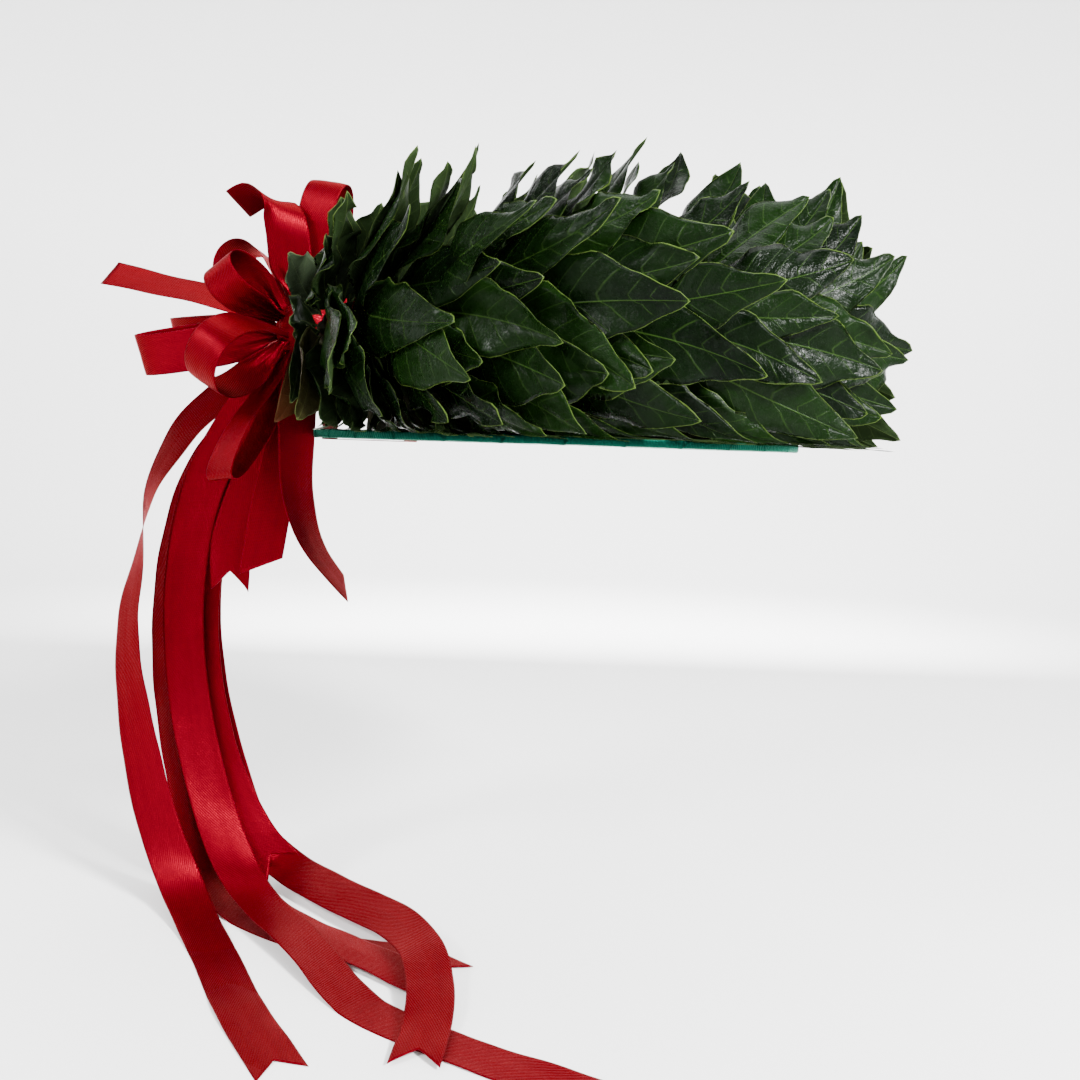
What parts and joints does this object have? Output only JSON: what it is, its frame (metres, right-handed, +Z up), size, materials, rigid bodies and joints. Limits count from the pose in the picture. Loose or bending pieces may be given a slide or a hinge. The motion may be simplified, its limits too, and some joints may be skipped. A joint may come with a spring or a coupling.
{
  "type": "laurel wreath crown",
  "caption": "Laurel wreath crown: two branches of laurel leaves on a ribbon-bound ring with an open head opening, tied at the back with a satin bow and hanging streamers",
  "frame": {"origin": "the middle of the head opening, level with the underside of the flat ring", "axes": "+Z up, along the axis of the head opening; +Y to the back, where the bow is tied; -X is the wearer's right"},
  "size_m": [0.3925, 0.4703, 0.4463],
  "materials": {
    "leaf": "glossy evergreen leaf, dark green above and paler underneath",
    "stem": "bound green-brown leaf stalks, dull",
    "satin_red": "red satin ribbon with a soft sheen",
    "satin_green": "green satin ribbon with a soft sheen"
  },
  "bodies": {
    "root": {"base_ring": "satin_green", "stem_roll": "stem", "tie_band": "satin_red", "bow_knot": "satin_red", "leaves_right_lower": "leaf", "leaves_right_outer": "leaf", "leaves_right_upper": "leaf", "leaves_right_inner": "leaf", "leaves_left_lower": "leaf", "leaves_left_outer": "leaf", "leaves_left_upper": "leaf", "leaves_left_inner": "leaf", "loop_top": "satin_red", "loop_arch": "satin_red", "loop_small": "satin_red", "loop_corner": "satin_red", "loop_behind": "satin_red", "loop_side": "satin_red", "loop_front": "satin_red", "loop_hanging": "satin_red", "loop_far_low": "satin_red", "loop_far_high": "satin_red", "tail_curl": "satin_red", "tail_straight": "satin_red", "tail_swallow": "satin_red", "tail_slant": "satin_red", "tail_point": "satin_red", "streamer_left": "satin_red", "streamer_under": "satin_red", "streamer_low": "satin_red", "streamer_long": "satin_red", "streamer_over": "satin_red", "streamer_fold": "satin_red"}
  },
  "joints": []
}
